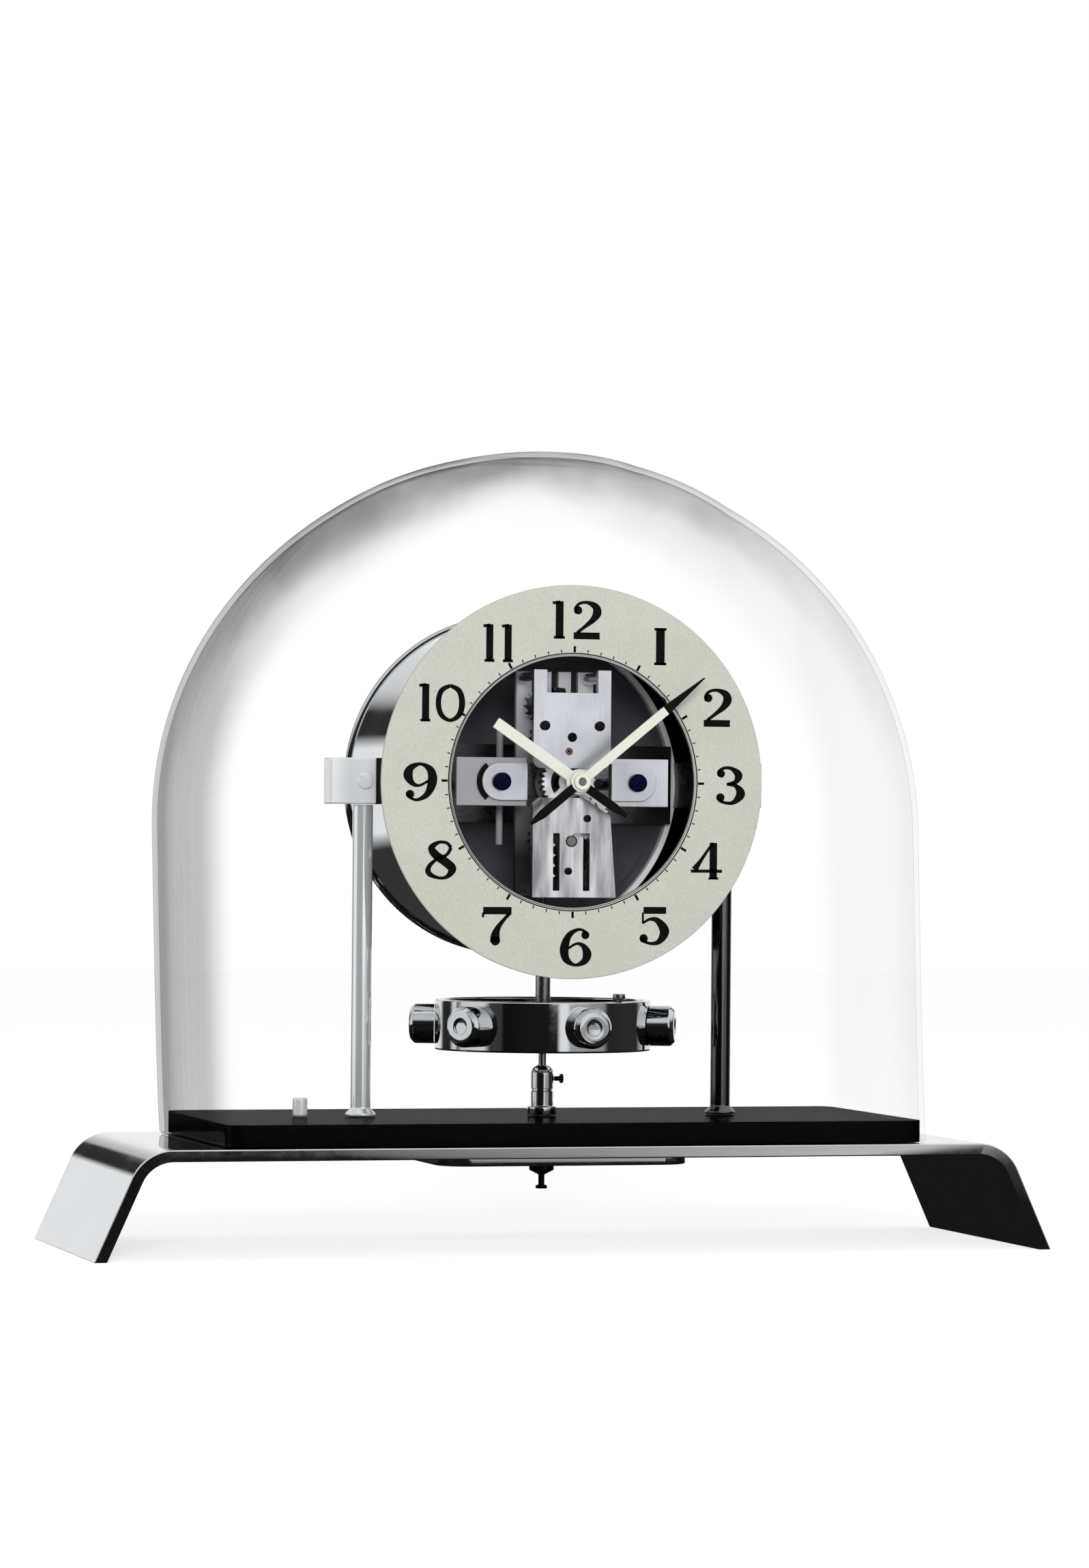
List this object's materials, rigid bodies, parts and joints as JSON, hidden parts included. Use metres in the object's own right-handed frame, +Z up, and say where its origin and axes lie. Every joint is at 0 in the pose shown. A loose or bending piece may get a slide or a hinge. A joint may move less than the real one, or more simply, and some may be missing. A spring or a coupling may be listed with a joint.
{
  "type": "atmospheric clock",
  "caption": "Torsion balance clock in an open chrome drum between two pillars, with ring dial, under an arched glass dome on a bent chrome strip.",
  "frame": {"origin": "ground level under the balance axis, midway between the two feet", "axes": "+X to the right as seen from the dial, +Y to the back, +Z up"},
  "size_m": [0.249, 0.086, 0.204],
  "materials": {
    "chrome": "polished",
    "steel": "satin",
    "dark_steel": "dark satin",
    "nickel": "satin nickel plate",
    "blued_steel": "polished, blued",
    "black_plinth": "gloss",
    "rubber": "matte",
    "dial_silver": "fine grained satin",
    "capsule_grey": "dull",
    "hand_black": "satin",
    "hand_cream": "satin",
    "dome_glass": "clear"
  },
  "bodies": {
    "frame": {"base_strip": "chrome", "plinth": "black_plinth", "plinth_stud": "chrome", "under_plate": "chrome", "pillar_left": "chrome", "pillar_block_left": "chrome", "block_screw_left": "steel", "bracket_pad_left": "rubber", "bridge_screw_left": "dark_steel", "arm_left": "nickel", "arm_clamp_left": "nickel", "arm_screw_left": "blued_steel", "arm_post_left": "steel", "pillar_right": "chrome", "pillar_block_right": "chrome", "block_screw_right": "steel", "bracket_pad_right": "rubber", "bridge_screw_right": "dark_steel", "arm_right": "nickel", "arm_clamp_right": "nickel", "arm_screw_right": "blued_steel", "arm_post_right": "steel", "drum_shell": "chrome", "drum_back_cover": "chrome", "dial_ring": "dial_silver", "carrier_ring": "chrome", "bellows_capsule": "capsule_grey", "rear_bar": "steel", "upper_bridge": "nickel", "lower_bridge": "nickel", "rear_plate": "nickel", "side_rod": "steel", "suspension_bracket": "steel"},
    "minute_train": {"centre_arbor": "steel", "cannon_pinion": "steel", "minute_hand": "hand_black", "hand_nut": "hand_cream"},
    "hour_train": {"hour_wheel": "steel", "hour_hand": "hand_black"},
    "minute_wheel_body": {"minute_wheel": "steel"},
    "barrel_body": {"barrel": "steel"},
    "third_body": {"third_arbor": "steel"},
    "escape_body": {"escape_wheel": "steel"},
    "anchor_body": {"anchor": "dark_steel"},
    "balance": {"balance_ring": "chrome", "balance_spokes": "steel", "balance_stem": "steel", "balance_weight_1": "chrome", "balance_weight_2": "chrome", "balance_weight_3": "chrome", "balance_weight_4": "chrome", "balance_weight_5": "chrome", "balance_weight_6": "chrome"},
    "beat_setting": {"beat_collar": "dark_steel", "torsion_wire": "steel"},
    "lock_screw_body": {"lock_screw": "dark_steel"},
    "lock_post_body": {"lock_post": "steel", "lock_pin": "dark_steel"},
    "plunger_body": {"capsule_plunger": "steel"},
    "dome_body": {"glass_dome": "dome_glass"}
  },
  "joints": [
    {"name": "minute_turn", "type": "hinge", "parent": "frame", "child": "minute_train", "pos_m": [0, -0.0216, 0.1192], "axis": [0, 1, 0], "continuous": true},
    {"name": "hour_turn", "type": "hinge", "parent": "frame", "child": "hour_train", "pos_m": [0, -0.0282, 0.1192], "axis": [0, 1, 0], "continuous": true},
    {"name": "minute_wheel_turn", "type": "hinge", "parent": "frame", "child": "minute_wheel_body", "pos_m": [0.00392, -0.0226, 0.1115], "axis": [0, 1, 0], "continuous": true},
    {"name": "barrel_turn", "type": "hinge", "parent": "frame", "child": "barrel_body", "pos_m": [0, -0.0182, 0.1042], "axis": [0, 1, 0], "continuous": true},
    {"name": "third_turn", "type": "hinge", "parent": "frame", "child": "third_body", "pos_m": [0, -0.0136, 0.1306], "axis": [0, 1, 0], "continuous": true},
    {"name": "escape_turn", "type": "hinge", "parent": "frame", "child": "escape_body", "pos_m": [-0.005, -0.0136, 0.1388], "axis": [0, 1, 0], "continuous": true},
    {"name": "anchor_rock", "type": "hinge", "parent": "frame", "child": "anchor_body", "pos_m": [0.0019, -0.015, 0.1388], "axis": [0, 1, 0], "range_deg": [-3, 3]},
    {"name": "balance_swing", "type": "hinge", "parent": "frame", "child": "balance", "pos_m": [0, 0, 0.0568], "axis": [0, 0, 1], "range_deg": [-225, 225], "stiffness_Nm_per_rad": 0.000001},
    {"name": "beat_adjust", "type": "hinge", "parent": "frame", "child": "beat_setting", "pos_m": [0, 0, 0.1402], "axis": [0, 0, 1], "range_deg": [-15, 15]},
    {"name": "lock_turn", "type": "hinge", "parent": "frame", "child": "lock_screw_body", "pos_m": [0, 0, 0.0207], "axis": [0, 0, 1], "range_deg": [0, 720]},
    {"name": "lock_lift", "type": "slide", "parent": "frame", "child": "lock_post_body", "axis": [0, 0, 1], "range_m": [0, 0.0015]},
    {"name": "capsule_push", "type": "slide", "parent": "frame", "child": "plunger_body", "axis": [0, -1, 0], "range_m": [0, 0.002], "stiffness_N_per_m": 200},
    {"name": "dome_lift", "type": "slide", "parent": "frame", "child": "dome_body", "axis": [0, 0, 1], "range_m": [0, 0.15]}
  ],
  "couplings": [
    {"joint": "hour_turn", "follows": "minute_turn", "ratio": 0.083333},
    {"joint": "minute_wheel_turn", "follows": "minute_turn", "ratio": -0.33333},
    {"joint": "barrel_turn", "follows": "minute_turn", "ratio": -0.66667},
    {"joint": "third_turn", "follows": "minute_turn", "ratio": -3.75},
    {"joint": "escape_turn", "follows": "minute_turn", "ratio": 11.25},
    {"joint": "lock_turn", "follows": "lock_lift", "rad_per_m": 8376.7}
  ]
}
